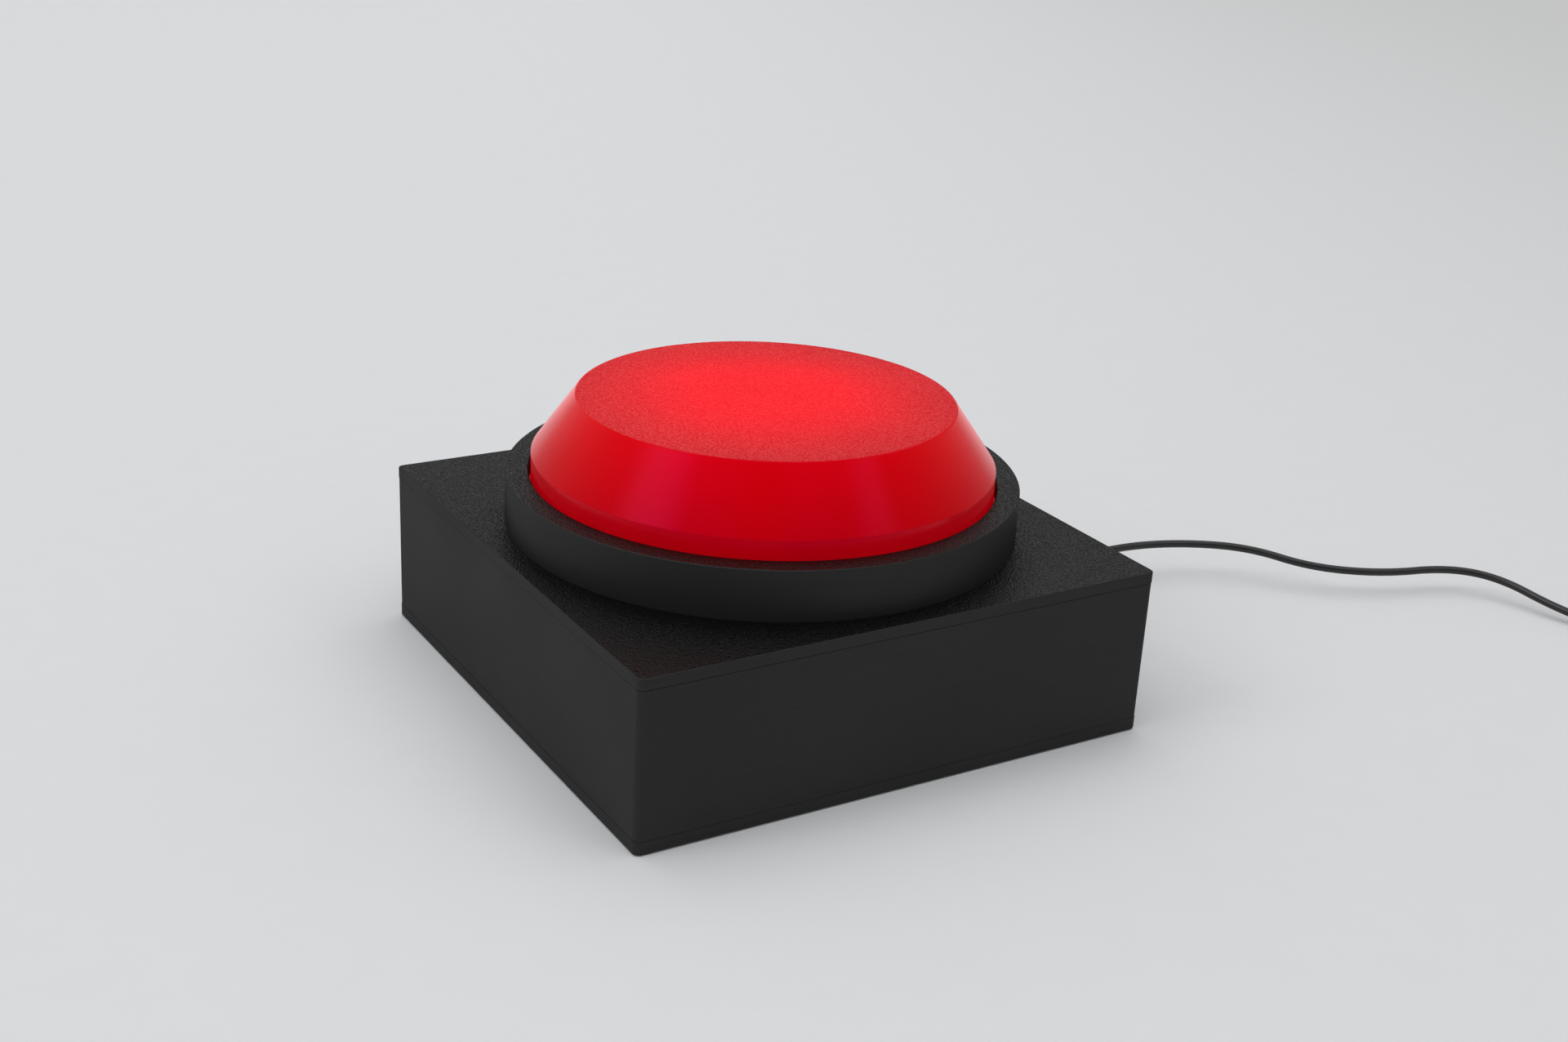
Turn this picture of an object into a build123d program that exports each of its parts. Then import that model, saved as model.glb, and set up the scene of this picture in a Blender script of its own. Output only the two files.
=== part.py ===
from build123d import *
import math
import os

# Quiz buzzer: a flat square box with a black collar on top, and in the collar a big
# translucent red push button that is lit from inside. All sizes are in millimetres.
# Origin: bottom centre of the box, in the plane of the feet. +Z is up, and -Y is the front.

# ---- Driving dimensions -------------------------------------------------------------------
BOX_SIDE = 200.0           # outside width and depth, over the band and the base plate
BAND_PROUD = 0.1           # the top band stands this far proud of the side walls
LINE = 0.2                 # depth and height of the fine groove under the band
CORNER = 2.4               # vertical corner radius of the box
WALL = 3.0
PLATE = 4.0                # thickness of the top plate
FOOT_STAND = 0.4           # the feet lift the base plate this far
BASE_TOP = 5.0
BOX_TOP = 61.0
CEILING = BOX_TOP - PLATE  # underside of the top plate
INSIDE = BOX_SIDE - 2 * (BAND_PROUD + WALL)

RING_TOP = 79.0
RING_OUTER = 91.5
RING_LIP = 83.2            # radius of the hole that the button shows through
RING_BORE = 86.2           # wider bore below the lip, where the flange runs
LIP_LOW = 73.0

DOME_TOP = 106.7
DOME_TOP_R = 67.2
SKIRT_R = 82.5
CONE_FOOT = 85.3           # height where the skirt turns into the cone
DOME_WALL = 2.2
FLANGE_R = 85.6
RIM_R = 75.0               # inside of the dome's thick foot
FLANGE_TOP = LIP_LOW - 0.3
SEAT = FLANGE_TOP - 2.5    # where the dome sits on its carrier
CARRIER_LOW = SEAT - 2.5   # the button's stroke is 5 mm, and ends just above the pads
CARRIER_HOLE_R = 48.0
PAD_TOP = BOX_TOP + 1.5

POST_CIRCLE = 60.0         # guide posts, on the diagonals
POST_R = 3.0
POST_LOW = 40.0
BOSS_R = 9.5
POCKET_R = 7.0
POCKET_ROOF = 82.0
BOSS_TOP = 90.0
BUSH_TOP = BOX_TOP + 1.5

SPRING_R = 5.3             # mean radius of the coil
SPRING_WIRE_R = 0.5
SPRING_TURNS = 7

SCREW_R = 1.45             # M3 shank
HOLE_R = 1.55
HEAD_R = 2.8
HEAD_H = 2.0
NUT_R = 3.1

PUSHER_X = 70.0            # the two pushers and switches, left and right
PUSHER_R = 2.5
PUSHER_CENTRE = 56.5       # height of the centre of a pusher's round tip at rest
PIVOT_Y = -20.0            # lever pivot, in front of the pusher by the lever's arm
PIVOT_Z = PUSHER_CENTRE - 8.25
LEVER_ANGLE = math.degrees(0.25)
LEVER_END = 23.0
EYE_R = 1.1
PIN_R = 0.6
PLUNGER_Y = PIVOT_Y + 8.0
PLUNGER_R = 1.2
CASE_TOP = PIVOT_Z - 1.3
CASE_LOW = CASE_TOP - 15.0
CASE_X = (PUSHER_X - 5.15, PUSHER_X + 5.15)
CASE_Y = (-23.9, 3.9)
BLADE_Y = (-21.0, -10.0, 1.0)
WIRE_Z = CASE_LOW - 5.0    # height at which the wires meet the blades

BOARD_LOW = 10.4           # controller board, on spacers over the base plate
BOARD_THICK = 1.6
BOARD_TOP = BOARD_LOW + BOARD_THICK
BOARD_X = (-36.0, 40.0)
BOARD_Y = (-25.0, 25.0)
SOCKET_FLOOR = BOARD_TOP + 1.5
LED_BOARD_LOW = 69.0
LED_BOARD_TOP = LED_BOARD_LOW + BOARD_THICK
LED_BOARD_R = 32.0
WIRE_R = 0.6

CABLE_R = 1.6
CABLE_Z = 15.0             # height of the cable hole in the right wall
GROMMET_OUT = 101.5
CLAMP_X = (80.0, 90.0)
CLAMP_Y = (-12.0, 12.0)

# The free cable's route, from the grommet down to the floor and to its coil.
CABLE_ROUTE = [
    (GROMMET_OUT, 0, CABLE_Z),
    (124, 1, 15.2),
    (154, 6, 15.6),
    (182, 9.5, 15.1),
    (209, 3, 14.9),
    (234, -12, 14.2),
    (249, -34, 11.0),
    (275, -50, 9.9),
    (305, -57, 10.1),
    (321, -72, 8.6),
    (325, -98, 4.8),
    (333, -120, 2.9),
    (340, -137, 2.2),
]
COIL_MEAN_R = 12 * CABLE_R  # twelve cable diameters across at mid-turns
COIL_STEP = 3.25            # spacing of the turns, sideways and upwards
COIL_COLUMNS = 6
COIL_LAYERS = 2
COIL_LOW = CABLE_ROUTE[-1][2] - CABLE_R
COIL_OUTER_R = COIL_MEAN_R + COIL_STEP * (COIL_COLUMNS - 1) / 2
STRAP = 0.5                 # thickness of the tie round the coil
STRAP_WIDTH = 7.0
TAIL_LENGTH = 24.0
PLUG_Z = 4.1                # height of the plug's axis as it lies on the floor

BOTTOM = (Align.CENTER, Align.CENTER, Align.MIN)


# ---- Small helpers ------------------------------------------------------------------------
def rod(radius, low, high, x=0.0, y=0.0):
    """An upright cylinder between two heights."""
    return Pos(x, y, low) * Cylinder(radius, high - low, align=BOTTOM)


def tube(outer, inner, low, high):
    return rod(outer, low, high) - rod(inner, low, high)


def bar_x(radius, x0, x1, y=0.0, z=0.0):
    """A cylinder along X."""
    return Pos(x0, y, z) * Rot(0, 90, 0) * Cylinder(radius, x1 - x0, align=BOTTOM)


def block(*spans):
    """A box from its (low, high) spans in X, Y and Z."""
    sizes = [high - low for low, high in spans]
    middle = [(low + high) / 2 for low, high in spans]
    return Pos(*middle) * Box(*sizes)


def slab(side, corner, low, high):
    """A square plate with rounded vertical corners."""
    return Pos(0, 0, low) * extrude(RectangleRounded(side, side, corner), high - low)


def on_circle(radius, angles):
    turns = [math.radians(a) for a in angles]
    return [(radius * math.cos(t), radius * math.sin(t)) for t in turns]


def four(x, y):
    return [(sx * x, sy * y) for sx in (-1, 1) for sy in (-1, 1)]


def both_sides(spots):
    return spots + [(-x, y) for x, y in spots]


def revolved(points):
    """A solid of revolution about Z, from (radius, height) points."""
    outline = Polyline(*[(r, 0, z) for r, z in points], close=True)
    return revolve(make_face(outline), Axis.Z)


def holes(radius, low, high, spots):
    return [rod(radius, low, high, x, y) for x, y in spots]


def placed(piece, spots, z=0.0, flip=False):
    """Copies of a piece at (x, y) spots, upside down if flip is set."""
    turn = Rot(180, 0, 0) if flip else Rot(0, 0, 0)
    return [Pos(x, y, z) * turn * piece for x, y in spots]


def top_edges(solid):
    return solid.edges().group_by(Axis.Z)[-1]


def low_edges(solid):
    return solid.edges().group_by(Axis.Z)[0]


def shank(length, start):
    """The pointed shank of a screw, from z = -start down to z = -length."""
    tip = Pos(0, 0, -length) * Cone(SCREW_R - 0.4, SCREW_R, 0.6, align=BOTTOM)
    return rod(SCREW_R, 0.6 - length, -start) + tip


def pan_screw(length):
    """A pan-head screw: its head stands on z = 0, and its shank goes down."""
    head = fillet(top_edges(rod(HEAD_R, 0, HEAD_H)), 0.6)
    socket = Pos(0, 0, HEAD_H - 1.2) * extrude(RegularPolygon(1.25, 6), 1.2)
    return head + shank(length, 0) - socket


def flat_screw(length):
    """A countersunk screw: its head is flush with z = 0, and its shank goes down."""
    head = Pos(0, 0, -1.6) * Cone(SCREW_R, 2.9, 1.6, align=BOTTOM)
    socket = Pos(0, 0, -1.1) * extrude(RegularPolygon(1.1, 6), 1.1)
    return head + shank(length, 1.6) - socket


def sinks(low, spots):
    """Countersinks that open downwards at height low."""
    cone = Cone(3.05, HOLE_R, 1.65, align=BOTTOM)
    return [Pos(x, y, low) * cone for x, y in spots]


def swept(path, radius):
    """A round bar along a path."""
    start = Plane(origin=path @ 0, z_dir=path % 0)
    return sweep(start * Circle(radius), path=path)


def wire(points, bend=3.0):
    return swept(FilletPolyline(*points, radius=bend), WIRE_R)


def left_of(pieces):
    """The left-hand twin of a right-hand piece or list of pieces."""
    if isinstance(pieces, list):
        return [mirror(p, about=Plane.YZ) for p in pieces]
    return mirror(pieces, about=Plane.YZ)


POSTS = on_circle(POST_CIRCLE, (45, 135, 225, 315))
COLLAR_SPOTS = on_circle((RING_BORE + RING_OUTER) / 2, [22.5 + 45 * i for i in range(8)])
CARRIER_SPOTS = on_circle((RIM_R + SKIRT_R) / 2, range(0, 360, 45))
CORNER_SPOTS = four(90, 90)
FOOT_SPOTS = four(78, 78)
BOARD_SPOTS = [(x, y) for x in (-32.5, 36.5) for y in (-21.5, 21.5)]
LED_SPOTS = on_circle(27, (90, 210, 330))
PAD_SPOTS = on_circle(70, (67, 113, 247, 293))
PUSHER_SPOTS = [(-PUSHER_X, 0), (PUSHER_X, 0)]
BRACKET_SPOTS = [(84, -19), (84, -1)]
CASE_HOLES = [(y, CASE_LOW + 3) for y in (-21.1, 1.1)]
CLAMP_SPOTS = [(85, -8), (85, 8)]


# ---- Box ----------------------------------------------------------------------------------
def housing():
    band = slab(BOX_SIDE, CORNER, CEILING, BOX_TOP)
    band = fillet(top_edges(band), 0.4)
    body = band + slab(BOX_SIDE - 2 * BAND_PROUD, CORNER, BASE_TOP, CEILING)
    body -= (slab(BOX_SIDE + 1, CORNER, CEILING - LINE, CEILING)
             - slab(BOX_SIDE - 2 * (BAND_PROUD + LINE), CORNER - LINE, CEILING - LINE, CEILING))
    body -= slab(INSIDE, 1.5, BASE_TOP, CEILING)
    body += holes(7.5, BASE_TOP, CEILING, CORNER_SPOTS)
    body -= holes(2.1, BASE_TOP, BASE_TOP + 12, CORNER_SPOTS)
    body -= holes(4.55, CEILING, BOX_TOP, POSTS)
    body -= holes(HOLE_R, CEILING, BOX_TOP, COLLAR_SPOTS + LED_SPOTS)
    body -= holes(3.3, CEILING, BOX_TOP, PUSHER_SPOTS)
    body -= holes(HOLE_R, CEILING, CEILING + 3.3, both_sides(BRACKET_SPOTS))
    body -= rod(5, CEILING, BOX_TOP, y=20)
    return body - bar_x(3.55, INSIDE / 2 - 1, BOX_SIDE / 2, z=CABLE_Z)


def base_plate():
    plate = fillet(low_edges(slab(BOX_SIDE, CORNER, FOOT_STAND, BASE_TOP)), 0.5)
    plate -= holes(HOLE_R, BASE_TOP - 2.5, BASE_TOP, BOARD_SPOTS + CLAMP_SPOTS)
    plate -= holes(HOLE_R, FOOT_STAND, BASE_TOP, CORNER_SPOTS)
    plate -= sinks(FOOT_STAND, CORNER_SPOTS)
    return plate - holes(8.05, FOOT_STAND, FOOT_STAND + 1, FOOT_SPOTS)


def base_screws():
    return placed(flat_screw(12), CORNER_SPOTS, FOOT_STAND, flip=True)


def thread_inserts():
    body = tube(2.08, SCREW_R + 0.05, BASE_TOP, BASE_TOP + 5)
    for z in (BASE_TOP + 1.2, BASE_TOP + 3.0):
        body -= tube(2.2, 1.85, z, z + 0.6)
    return placed(body, CORNER_SPOTS)


def rubber_feet():
    foot = fillet(low_edges(rod(8, 0, FOOT_STAND + 1)), 0.4)
    return placed(foot, FOOT_SPOTS)


def button_ring():
    """The black collar: a lip over a wider bore, so the button's flange can't lift out."""
    ring = revolved([
        (RING_BORE, BOX_TOP),
        (RING_OUTER, BOX_TOP),
        (RING_OUTER, RING_TOP - 0.25),
        (RING_OUTER - 0.25, RING_TOP),
        (RING_LIP + 0.5, RING_TOP),
        (RING_LIP, RING_TOP - 0.5),
        (RING_LIP, LIP_LOW),
        (RING_BORE, LIP_LOW),
    ])
    return ring - holes(HOLE_R, BOX_TOP, BOX_TOP + 7, COLLAR_SPOTS)


def collar_screws():
    return placed(pan_screw(10), COLLAR_SPOTS, CEILING, flip=True)


def guide_bushes():
    sleeve = tube(4.5, POST_R + 0.06, CEILING - 2, BOX_TOP)
    flange = tube(6.6, POST_R + 0.06, BOX_TOP, BUSH_TOP)
    return placed(sleeve + flange, POSTS)


def bumper_pads():
    pad = fillet(top_edges(rod(5, BOX_TOP, PAD_TOP)), 0.5)
    return placed(pad, PAD_SPOTS)


# ---- Button -------------------------------------------------------------------------------
def button_dome():
    """A frustum shell on a short skirt, with an outer flange and a thick inner rim."""
    slope = (SKIRT_R - DOME_TOP_R) / (DOME_TOP - CONE_FOOT)
    inset = DOME_WALL * math.hypot(1, slope)
    roof = DOME_TOP - DOME_WALL
    roof_r = SKIRT_R - slope * (roof - CONE_FOOT) - inset
    skirt_in = SKIRT_R - DOME_WALL
    inner_foot = CONE_FOOT + (DOME_WALL - inset) / slope
    shell = revolved([
        (0, DOME_TOP),
        (DOME_TOP_R, DOME_TOP),
        (SKIRT_R, CONE_FOOT),
        (SKIRT_R, FLANGE_TOP),
        (FLANGE_R, FLANGE_TOP),
        (FLANGE_R, SEAT),
        (RIM_R, SEAT),
        (RIM_R, SEAT + 4),
        (skirt_in, SEAT + 4),
        (skirt_in, inner_foot),
        (roof_r, roof),
        (0, roof),
    ])
    shell = fillet(top_edges(shell), 0.9)
    return shell - holes(HOLE_R, SEAT, SEAT + 3.5, CARRIER_SPOTS)


def button_carrier():
    """A flat ring under the dome, with a pocketed boss for each spring and guide post."""
    carrier = tube(FLANGE_R, CARRIER_HOLE_R, CARRIER_LOW, SEAT)
    carrier += holes(BOSS_R, CARRIER_LOW, BOSS_TOP, POSTS)
    carrier -= holes(POCKET_R, CARRIER_LOW, POCKET_ROOF, POSTS)
    carrier -= holes(POST_R, POCKET_ROOF, BOSS_TOP, POSTS)
    carrier -= holes(PUSHER_R, CARRIER_LOW, SEAT, PUSHER_SPOTS)
    carrier -= holes(HOLE_R, CARRIER_LOW, SEAT, CARRIER_SPOTS)
    return carrier - sinks(CARRIER_LOW, CARRIER_SPOTS)


def carrier_screws():
    return placed(flat_screw(5.5), CARRIER_SPOTS, CARRIER_LOW, flip=True)


def guide_posts():
    post = chamfer(low_edges(rod(POST_R, POST_LOW, BOSS_TOP)), 0.8)
    return placed(post, POSTS)


def switch_pushers():
    pin = rod(PUSHER_R, PUSHER_CENTRE, SEAT) + rod(3.6, SEAT, SEAT + 1.8)
    pin += Pos(0, 0, PUSHER_CENTRE) * Sphere(PUSHER_R)
    return placed(pin, PUSHER_SPOTS)


def return_spring(x, y):
    """A compression coil between a bush flange and the roof of its spring pocket."""
    low = BUSH_TOP + SPRING_WIRE_R + 0.02
    height = POCKET_ROOF - SPRING_WIRE_R - 0.02 - low
    path = Helix(height / SPRING_TURNS, height, SPRING_R)
    start = Plane(origin=path @ 0, z_dir=path % 0)
    return Pos(x, y, low) * sweep(start * Circle(SPRING_WIRE_R), path=path, is_frenet=True)


# ---- Lighting -----------------------------------------------------------------------------
def led_board():
    board = rod(LED_BOARD_R, LED_BOARD_LOW, LED_BOARD_TOP)
    return board - holes(HOLE_R, LED_BOARD_LOW, LED_BOARD_TOP, LED_SPOTS)


def led_chips():
    chip = block((-2.5, 2.5), (-2.5, 2.5), (0, 1.3))
    chip += Pos(0, 0, 0.7) * Sphere(1.7)
    chip &= block((-3, 3), (-3, 3), (0, 3))
    return placed(chip, [(0, 0)] + on_circle(16, range(0, 360, 60)), LED_BOARD_TOP)


def led_socket():
    shell = block((-5, 5), (17, 23), (LED_BOARD_LOW - 5, LED_BOARD_LOW))
    return shell - block((-4, 4), (18, 22), (LED_BOARD_LOW - 5, LED_BOARD_LOW - 1.5))


def led_standoffs():
    height = LED_BOARD_LOW - BOX_TOP
    post = extrude(RegularPolygon(NUT_R, 6), height) - rod(HOLE_R, 0, height)
    return placed(post, LED_SPOTS, BOX_TOP)


def led_screws():
    above = placed(pan_screw(3), LED_SPOTS, LED_BOARD_TOP)
    return above + placed(pan_screw(7.5), LED_SPOTS, CEILING, flip=True)


def led_wires():
    return [
        wire([(x, 18, SOCKET_FLOOR), (x, 18, 24), (x, 20, 38), (x, 20, LED_BOARD_LOW - 1.5)], 12)
        for x in (-2.4, 0, 2.4)
    ]


# ---- Controller ---------------------------------------------------------------------------
def controller_board():
    board = block(BOARD_X, BOARD_Y, (BOARD_LOW, BOARD_TOP))
    board = fillet(board.edges().filter_by(Axis.Z), 2)
    return board - holes(HOLE_R, BOARD_LOW, BOARD_TOP, BOARD_SPOTS)


def board_spacers():
    spacer = tube(3.5, HOLE_R, BASE_TOP, BOARD_LOW)
    return placed(spacer, BOARD_SPOTS)


def board_chips():
    """The processor, the regulator and the light driver."""
    chips = [((-10, 4), (-5, 9), 1.6), ((-28, -21), (-12, -5), 1.8), ((14, 20), (6, 10), 1.2)]
    return [block(x, y, (BOARD_TOP, BOARD_TOP + tall)) for x, y, tall in chips]


def board_cans():
    """Two capacitors and a crystal."""
    cap = fillet(top_edges(rod(3.1, BOARD_TOP, BOARD_TOP + 7)), 0.5)
    crystal = block((-8, 3), (-14, -9.5), (BOARD_TOP, BOARD_TOP + 3.4))
    return placed(cap, [(-26, 6), (-18, 6)]) + [fillet(crystal.edges().filter_by(Axis.Z), 2)]


def open_header(x, y):
    """A pin header that opens upwards, from the middle of its foot."""
    shell = block((x - 5, x + 5), (y - 3, y + 3), (BOARD_TOP, BOARD_TOP + 6))
    return shell - block((x - 4, x + 4), (y - 2, y + 2), (SOCKET_FLOOR, BOARD_TOP + 6))


def board_headers():
    side = block((32, 39), (-6, 6), (BOARD_TOP, BOARD_TOP + 6))
    side -= block((34, 39), (-5, 5), (BOARD_TOP + 0.8, BOARD_TOP + 5.2))
    return [open_header(0, 18), open_header(21, -17), open_header(-21, -17), side]


def board_screws():
    return placed(pan_screw(9), BOARD_SPOTS, BOARD_TOP)


# ---- Switches: the right one, and its twin on the left --------------------------------------
def switch_case():
    """A lever switch on its edge: plunger hole on top, and two ears for the lever's pin."""
    case = fillet(block(CASE_X, CASE_Y, (CASE_LOW, CASE_TOP)).edges().filter_by(Axis.X), 0.8)
    for x0, x1 in ((CASE_X[0], CASE_X[0] + 1.9), (CASE_X[1] - 1.9, CASE_X[1])):
        ear = block((x0, x1), (PIVOT_Y - 1.6, PIVOT_Y + 1.6), (CASE_TOP - 1, PIVOT_Z + 1.6))
        case += fillet(ear.edges().filter_by(Axis.X).group_by(Axis.Z)[-1], 1.4)
    case -= bar_x(PIN_R, *CASE_X, y=PIVOT_Y, z=PIVOT_Z)
    case -= rod(PLUNGER_R + 0.08, CASE_TOP - 6.5, CASE_TOP, PUSHER_X, PLUNGER_Y)
    return case - [bar_x(HOLE_R, *CASE_X, y=y, z=z) for y, z in CASE_HOLES]


def switch_blades():
    thick = (PUSHER_X - 0.4, PUSHER_X + 0.4)
    return [block(thick, (y - 2.4, y + 2.4), (CASE_LOW - 7.5, CASE_LOW)) for y in BLADE_Y]


def switch_pin():
    return bar_x(PIN_R, *CASE_X, y=PIVOT_Y, z=PIVOT_Z)


def switch_lever():
    """A spring-steel strip with a rolled eye, tilted up from its pin at rest."""
    strip = block((-3, 3), (0, LEVER_END), (-0.4, 0.4)) + bar_x(EYE_R, -3, 3)
    strip -= bar_x(PIN_R + 0.06, -3, 3)
    return Pos(PUSHER_X, PIVOT_Y, PIVOT_Z) * Rot(LEVER_ANGLE, 0, 0) * strip


def switch_plunger():
    tip = PIVOT_Z + 0.2
    stem = rod(PLUNGER_R, tip - 5, tip, PUSHER_X, PLUNGER_Y)
    return stem + Pos(PUSHER_X, PLUNGER_Y, tip) * Sphere(PLUNGER_R)


def switch_bracket():
    """An angle plate: the switch hangs on its leg, and its foot screws to the ceiling."""
    leg_x = (CASE_X[1] + 0.05, CASE_X[1] + 3.05)
    leg = block(leg_x, CASE_Y, (CASE_LOW, CEILING))
    leg += block((leg_x[1], 90), CASE_Y, (CEILING - 3, CEILING))
    leg -= [bar_x(HOLE_R, *leg_x, y=y, z=z) for y, z in CASE_HOLES]
    return leg - holes(HOLE_R, CEILING - 3, CEILING, BRACKET_SPOTS)


def switch_screws():
    screw = Rot(0, -90, 0) * pan_screw(16)
    return [Pos(CASE_X[0], y, z) * screw for y, z in CASE_HOLES]


def switch_nuts():
    nut = Rot(0, 90, 0) * (extrude(RegularPolygon(NUT_R, 6), 2.4) - rod(HOLE_R, 0, 2.4))
    return [Pos(CASE_X[1] + 3.1, y, z) * nut for y, z in CASE_HOLES]


def bracket_screws():
    return placed(pan_screw(6), BRACKET_SPOTS, CEILING - 3, flip=True)


def switch_wires():
    """Two wires, from the board's header to the outer blades."""
    end = PUSHER_X - 0.4
    routes = []
    for x, y, lift, blade in ((19, -17, 25, BLADE_Y[0]), (23, -17, 22, BLADE_Y[2])):
        routes.append([(x, y, SOCKET_FLOOR), (x, y, lift), (48, blade, WIRE_Z), (end, blade, WIRE_Z)])
    return [wire(route) for route in routes]


# ---- Cable --------------------------------------------------------------------------------
def bend_radii(points):
    """For each inner corner of a route, the largest arc that its two runs leave room for."""
    radii = []
    for before, here, after in zip(points, points[1:], points[2:]):
        arrive, leave = Vector(here) - Vector(before), Vector(after) - Vector(here)
        half_turn = math.radians(arrive.get_angle(leave)) / 2
        radii.append(0.45 * min(arrive.length, leave.length) / math.tan(half_turn))
    return radii


def cable_run():
    radii = bend_radii(CABLE_ROUTE)
    path = FilletPolyline(*CABLE_ROUTE, radius=radii)
    run = swept(path, CABLE_R)
    section = math.pi * CABLE_R ** 2
    print("cable bend radii", [round(r, 1) for r in radii])
    print("cable length", round(path.length, 1), "volume", round(run.volume, 1),
          "section x length", round(section * path.length, 1))
    return run


def coil_frame():
    """Where the coil starts, its centre, and the heading there, from the route's last run."""
    (x0, y0, _), (x1, y1, _) = CABLE_ROUTE[-2:]
    heading = math.atan2(y1 - y0, x1 - x0)
    centre_x = x1 - COIL_OUTER_R * math.sin(heading)
    centre_y = y1 + COIL_OUTER_R * math.cos(heading)
    return (x1, y1), (centre_x, centre_y), heading


def cable_coil():
    half = COIL_STEP * (COIL_COLUMNS - 1) / 2 + CABLE_R + 0.05
    tall = 2 * CABLE_R + COIL_STEP * (COIL_LAYERS - 1)
    ring = tube(COIL_MEAN_R + half, COIL_MEAN_R - half, COIL_LOW, COIL_LOW + tall)
    ring = fillet(ring.edges().filter_by(GeomType.CIRCLE), CABLE_R * 0.9)
    _, centre, _ = coil_frame()
    turns = (COIL_COLUMNS - 1) * COIL_LAYERS
    print("coil length", round(2 * math.pi * COIL_MEAN_R * turns, 1))
    return Pos(*centre) * ring


def coil_tie():
    """A flat strap round the coil's section, on the far side from where the cable enters."""
    tall = 2 * CABLE_R + COIL_STEP * (COIL_LAYERS - 1)
    half = COIL_STEP * (COIL_COLUMNS - 1) / 2 + CABLE_R + 0.2
    inner = math.sqrt((COIL_MEAN_R - half) ** 2 - (STRAP_WIDTH / 2) ** 2)
    outer = COIL_MEAN_R + half
    side = (-STRAP_WIDTH / 2, STRAP_WIDTH / 2)
    hole = block((inner, outer), side, (COIL_LOW - 0.05, COIL_LOW + tall + 0.1))
    strap = block((inner - STRAP, outer + STRAP), side,
                  (COIL_LOW - 0.05 - STRAP, COIL_LOW + tall + 0.1 + STRAP))
    _, centre, heading = coil_frame()
    return Pos(*centre) * Rot(0, 0, math.degrees(heading) + 90) * (strap - hole)


def from_coil(piece, along, z):
    """Places a piece made along +X on the line by which the cable's end leaves the coil."""
    start, _, heading = coil_frame()
    x = start[0] + along * math.cos(heading)
    y = start[1] + along * math.sin(heading)
    return Pos(x, y, z) * Rot(0, 0, math.degrees(heading)) * piece


def cable_tail():
    """The straight end of the cable, from the coil's upper layer down to the plug."""
    drop = COIL_LOW + CABLE_R + COIL_STEP * (COIL_LAYERS - 1) - PLUG_Z
    slant = math.atan2(drop, TAIL_LENGTH)
    piece = Rot(0, math.degrees(slant), 0) * bar_x(CABLE_R, 0, math.hypot(drop, TAIL_LENGTH))
    return from_coil(piece, 0, PLUG_Z + drop)


def plug_boot():
    """The tapered relief between the cable and the plug."""
    cone = revolved([(0, 0), (2.3, 0), (3.4, 9), (0, 9)])
    return from_coil(Rot(0, 90, 0) * cone, TAIL_LENGTH, PLUG_Z)


def plug_body():
    grip = block((9, 33), (-7.8, 7.8), (-4, 4))
    grip = fillet(grip.edges().filter_by(Axis.X), 1.8)
    for x in (14, 17, 20, 23):
        grip -= block((x, x + 1.2), (-6, 6), (3.6, 4))
    return from_coil(grip, TAIL_LENGTH, PLUG_Z)


def plug_shell():
    shell = block((33, 45), (-6, 6), (-2.25, 2.25)) - block((33, 45), (-5.7, 5.7), (-1.95, 1.95))
    for y in (-2.6, 2.6):
        shell -= block((36, 38), (y - 1.2, y + 1.2), (1.9, 2.3))
    return from_coil(shell, TAIL_LENGTH, PLUG_Z)


def plug_tongue():
    return from_coil(block((33, 44.5), (-5.65, 5.65), (-1.9, 0)), TAIL_LENGTH, PLUG_Z)


def plug_contacts():
    strips = [block((36, 44), (y - 0.6, y + 0.6), (0, 0.15)) for y in (-3.5, -1.1, 1.1, 3.5)]
    return [from_coil(strip, TAIL_LENGTH, PLUG_Z) for strip in strips]


def cable_grommet():
    """A rubber grommet: two flanges either side of the wall, and a tapered nose."""
    wall_in, wall_out = INSIDE / 2, BOX_SIDE / 2 - BAND_PROUD
    body = revolved([
        (CABLE_R + 0.05, wall_in - 1.5),
        (5.2, wall_in - 1.5),
        (5.2, wall_in - 0.05),
        (3.5, wall_in - 0.05),
        (3.5, wall_out + 0.05),
        (5.2, wall_out + 0.05),
        (4.2, GROMMET_OUT),
        (CABLE_R + 0.05, GROMMET_OUT),
    ])
    return Pos(0, 0, CABLE_Z) * Rot(0, 90, 0) * body


def cable_inner():
    return bar_x(CABLE_R, 52, GROMMET_OUT, z=CABLE_Z)


def lead_connector():
    body = block((34.2, 52), (-4.8, 4.8), (BOARD_TOP + 1, BOARD_TOP + 5))
    return body - block((41, 46), (-1.5, 1.5), (BOARD_TOP + 4.2, BOARD_TOP + 5))


def clamp_base():
    body = block(CLAMP_X, CLAMP_Y, (BASE_TOP, CABLE_Z - 0.05))
    body -= bar_x(CABLE_R + 0.05, *CLAMP_X, z=CABLE_Z)
    return body - holes(HOLE_R, BASE_TOP, CABLE_Z, CLAMP_SPOTS)


def cable_clamp():
    bar = block(CLAMP_X, CLAMP_Y, (CABLE_Z + 0.05, CABLE_Z + 4))
    bar = fillet(bar.edges().filter_by(Axis.X).group_by(Axis.Z)[-1], 1.5)
    bar -= bar_x(CABLE_R + 0.05, *CLAMP_X, z=CABLE_Z)
    return bar - holes(HOLE_R, CABLE_Z, CABLE_Z + 4, CLAMP_SPOTS)


def clamp_screws():
    return placed(pan_screw(16), CLAMP_SPOTS, CABLE_Z + 4)


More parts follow.
